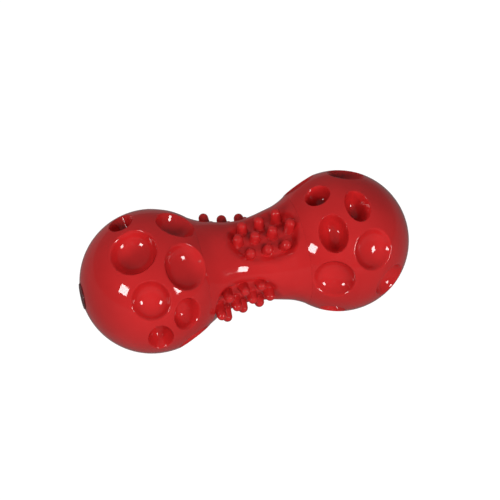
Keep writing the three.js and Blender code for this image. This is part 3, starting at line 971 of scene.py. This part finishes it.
def build_reed_parts(scene):
    """Models the reed, its holder and its plug from their solids, with eased edges."""
    material = plastic_material("reed_plastic", scene.toy_colours.reed, roughness=0.3)
    parts = (
        ("reed_trough", "reed_holder", "toy"),
        ("reed_strip", "reed", "reed_blade"),
        ("reed_plug", "reed_wedge", "toy"),
    )
    for name, node, body in parts:
        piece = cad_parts[node].copy()
        piece.data = piece.data.copy()
        piece.name = name
        piece.parent = None
        for key in list(piece.keys()):
            del piece[key]
        bpy.context.collection.objects.link(piece)
        select_only(piece)
        bpy.ops.object.mode_set(mode="EDIT")
        bpy.ops.mesh.select_all(action="SELECT")
        bpy.ops.mesh.remove_doubles(threshold=WELD)
        bpy.ops.mesh.dissolve_limited(angle_limit=math.radians(REED_FLAT))
        bpy.ops.object.mode_set(mode="OBJECT")
        bevel = piece.modifiers.new("ease", "BEVEL")
        bevel.width = scene.toy_squeaker.reed_bevel
        bevel.segments = REED_BEVEL_STEPS
        bevel.limit_method = "ANGLE"
        bevel.angle_limit = math.radians(REED_EDGE)
        bpy.ops.object.modifier_apply(modifier=bevel.name)
        shade(piece, HARD_EDGE)
        finish_piece(piece, node, body, material)


def moulded_group():
    """A node group for moulded plastic: patches of colour and gloss, waves and a fine grain."""
    found = bpy.data.node_groups.get("moulded_surface")
    if found:
        return found
    group = bpy.data.node_groups.new("moulded_surface", "ShaderNodeTree")

    def add_socket(name, way):
        kind = "NodeSocketColor" if name.endswith("Colour") else "NodeSocketFloat"
        return group.interface.new_socket(name=name, in_out=way, socket_type=kind)

    defaults = {
        "Colour": (1, 1, 1, 1),
        "Patch Colour": (1, 1, 1, 1),
        "Patch Scale": 60,
        "Gloss Low": 0.1,
        "Gloss High": 0.2,
        "Wave Scale": 120,
        "Wave Height": 0.00002,
        "Grain Scale": 900,
        "Grain Height": 0.000001,
    }
    for name, value in defaults.items():
        add_socket(name, "INPUT").default_value = value
    for name in ("Colour", "Roughness", "Height"):
        add_socket(name, "OUTPUT")
    nodes, links = group.nodes, group.links
    given = nodes.new("NodeGroupInput")
    result = nodes.new("NodeGroupOutput")
    spot = nodes.new("ShaderNodeTexCoord").outputs["Object"]

    def noise(scale, detail):
        texture = nodes.new("ShaderNodeTexNoise")
        texture.inputs["Detail"].default_value = detail
        links.new(spot, texture.inputs["Vector"])
        links.new(given.outputs[scale], texture.inputs["Scale"])
        return texture.outputs["Fac"]

    def scaled(value, factor):
        product = nodes.new("ShaderNodeMath")
        product.operation = "MULTIPLY"
        links.new(value, product.inputs[0])
        links.new(given.outputs[factor], product.inputs[1])
        return product.outputs[0]

    patches = noise("Patch Scale", detail=3)
    spread = nodes.new("ShaderNodeMapRange")
    spread.inputs["From Min"].default_value = 0.35
    spread.inputs["From Max"].default_value = 0.65
    links.new(patches, spread.inputs["Value"])
    mix = nodes.new("ShaderNodeMix")
    mix.data_type = "RGBA"
    links.new(spread.outputs["Result"], mix.inputs["Factor"])
    links.new(given.outputs["Colour"], mix.inputs["A"])
    links.new(given.outputs["Patch Colour"], mix.inputs["B"])
    links.new(mix.outputs["Result"], result.inputs["Colour"])
    gloss = nodes.new("ShaderNodeMapRange")
    links.new(spread.outputs["Result"], gloss.inputs["Value"])
    links.new(given.outputs["Gloss Low"], gloss.inputs["To Min"])
    links.new(given.outputs["Gloss High"], gloss.inputs["To Max"])
    links.new(gloss.outputs["Result"], result.inputs["Roughness"])
    total = nodes.new("ShaderNodeMath")
    links.new(scaled(noise("Wave Scale", detail=1.5), "Wave Height"), total.inputs[0])
    links.new(scaled(noise("Grain Scale", detail=2), "Grain Height"), total.inputs[1])
    links.new(total.outputs[0], result.inputs["Height"])
    return group


def moulded_material(name, values):
    """A moulded plastic from the shared node group, with its own values."""
    found = bpy.data.materials.get(name)
    if found:
        return found
    material = bpy.data.materials.new(name)
    material.use_nodes = True
    nodes, links = material.node_tree.nodes, material.node_tree.links
    shader = nodes["Principled BSDF"]
    surface = nodes.new("ShaderNodeGroup")
    surface.node_tree = moulded_group()
    for key, value in values.items():
        surface.inputs[key].default_value = value
    bump = nodes.new("ShaderNodeBump")
    bump.inputs["Distance"].default_value = 1
    links.new(surface.outputs["Colour"], shader.inputs["Base Color"])
    links.new(surface.outputs["Roughness"], shader.inputs["Roughness"])
    links.new(surface.outputs["Height"], bump.inputs["Height"])
    links.new(bump.outputs["Normal"], shader.inputs["Normal"])
    return material


def red_material(colours):
    """The glossy soft red moulding."""
    return moulded_material(
        "soft_red_rubber",
        {
            "Colour": (*colours.red, 1),
            "Patch Colour": (*colours.deep_red, 1),
            "Patch Scale": 45,
            "Gloss Low": 0.05,
            "Gloss High": 0.07,
            "Wave Scale": 400,
            "Wave Height": 0.000015,
            "Grain Scale": 1400,
            "Grain Height": 0.0000012,
        },
    )


def plastic_material(name, tint, roughness):
    """A hard moulded plastic."""
    darker = [channel * PATCH_SHADE for channel in tint]
    return moulded_material(
        name,
        {
            "Colour": (*tint, 1),
            "Patch Colour": (*darker, 1),
            "Patch Scale": 400,
            "Gloss Low": roughness,
            "Gloss High": roughness * PATCH_ROUGHNESS,
            "Wave Scale": 500,
            "Wave Height": 0.000004,
            "Grain Scale": 5000,
            "Grain Height": 0.000001,
        },
    )


def seen_share(nodes, links, level, gloss_share):
    """A level for what the camera sees, also through glass, and a share of it for what gloss shows."""
    rays = nodes.new("ShaderNodeLightPath")
    shares = {"Is Camera Ray": 1, "Is Transmission Ray": 1, "Is Glossy Ray": gloss_share}
    result = None
    for name, share in shares.items():
        part = nodes.new("ShaderNodeMath")
        part.operation = "MULTIPLY"
        part.inputs[1].default_value = level * share
        links.new(rays.outputs[name], part.inputs[0])
        if result:
            either = nodes.new("ShaderNodeMath")
            either.operation = "MAXIMUM"
            links.new(result, either.inputs[0])
            links.new(part.outputs[0], either.inputs[1])
            part = either
        result = part.outputs[0]
    return result


def floor_material(colours, studio):
    """A white floor that keeps the toy's shadow and still reads as white."""
    material = bpy.data.materials.new("studio_white")
    material.use_nodes = True
    nodes, links = material.node_tree.nodes, material.node_tree.links
    shader = nodes["Principled BSDF"]
    shader.inputs["Base Color"].default_value = (*colours.floor, 1)
    shader.inputs["Roughness"].default_value = 1
    shader.inputs["Specular IOR Level"].default_value = 0
    shader.inputs["Emission Color"].default_value = (1, 1, 1, 1)
    glow = seen_share(nodes, links, studio.floor_glow, studio.gloss_share)
    links.new(glow, shader.inputs["Emission Strength"])
    return material


def surroundings(scene, colours, studio):
    """Surroundings that look white, and light the toy as dark walls under a paler ceiling do."""
    world = bpy.data.worlds.new("studio")
    world.use_nodes = True
    nodes, links = world.node_tree.nodes, world.node_tree.links
    way = nodes.new("ShaderNodeTexCoord")
    parts = nodes.new("ShaderNodeSeparateXYZ")
    rise = nodes.new("ShaderNodeMapRange")
    rise.interpolation_type = "SMOOTHSTEP"
    rise.inputs["From Min"].default_value = CEILING_RISE[0]
    rise.inputs["From Max"].default_value = CEILING_RISE[1]
    mix = nodes.new("ShaderNodeMix")
    mix.data_type = "RGBA"
    mix.inputs["A"].default_value = (*colours.walls, 1)
    mix.inputs["B"].default_value = (*colours.ceiling, 1)
    links.new(way.outputs["Generated"], parts.inputs["Vector"])
    links.new(parts.outputs["Z"], rise.inputs["Value"])
    links.new(rise.outputs["Result"], mix.inputs["Factor"])
    white = nodes.new("ShaderNodeMix")
    white.data_type = "RGBA"
    white.inputs["B"].default_value = (1, 1, 1, 1)
    links.new(seen_share(nodes, links, 1, studio.gloss_share), white.inputs["Factor"])
    links.new(mix.outputs["Result"], white.inputs["A"])
    links.new(white.outputs["Result"], nodes["Background"].inputs["Color"])
    scene.world = world


class TOY_PT_panel(Panel):
    """Lists the toy's sizes, colours and steps"""

    bl_idname = "TOY_PT_panel"
    bl_label = "Dumbbell Toy"
    bl_space_type = "VIEW_3D"
    bl_region_type = "UI"
    bl_category = "Toy"

    def draw(self, context):
        layout = self.layout
        for step in STEPS:
            layout.operator(step.bl_idname)
        for name, group in GROUPS.items():
            box = layout.box()
            box.label(text=name.replace("_", " "))
            for key in group.__annotations__:
                box.prop(getattr(context.scene, name), key)


GROUPS = {
    "toy_ball": ToyBallSizes,
    "toy_grip": ToyGripSizes,
    "toy_nub": ToyNubSizes,
    "toy_squeaker": ToySqueakerSizes,
    "toy_colours": ToyColours,
    "toy_studio": ToyStudio,
}
STEPS = (TOY_OT_stage, TOY_OT_balls, TOY_OT_grip, TOY_OT_squeaker)


def register():
    for group in GROUPS.values():
        bpy.utils.register_class(group)
    for name, group in GROUPS.items():
        setattr(bpy.types.Scene, name, PointerProperty(type=group))
    for step in STEPS:
        bpy.utils.register_class(step)
    bpy.utils.register_class(TOY_PT_panel)


def unregister():
    bpy.utils.unregister_class(TOY_PT_panel)
    for step in reversed(STEPS):
        bpy.utils.unregister_class(step)
    for name in GROUPS:
        delattr(bpy.types.Scene, name)
    for group in reversed(GROUPS.values()):
        bpy.utils.unregister_class(group)


def main():
    """Builds the toy and its stage."""
    register()
    bpy.ops.toy.stage()
    bpy.ops.toy.balls()
    bpy.ops.toy.grip()
    bpy.ops.toy.squeaker()
    deselect_all()


if __name__ == "__main__":
    main()
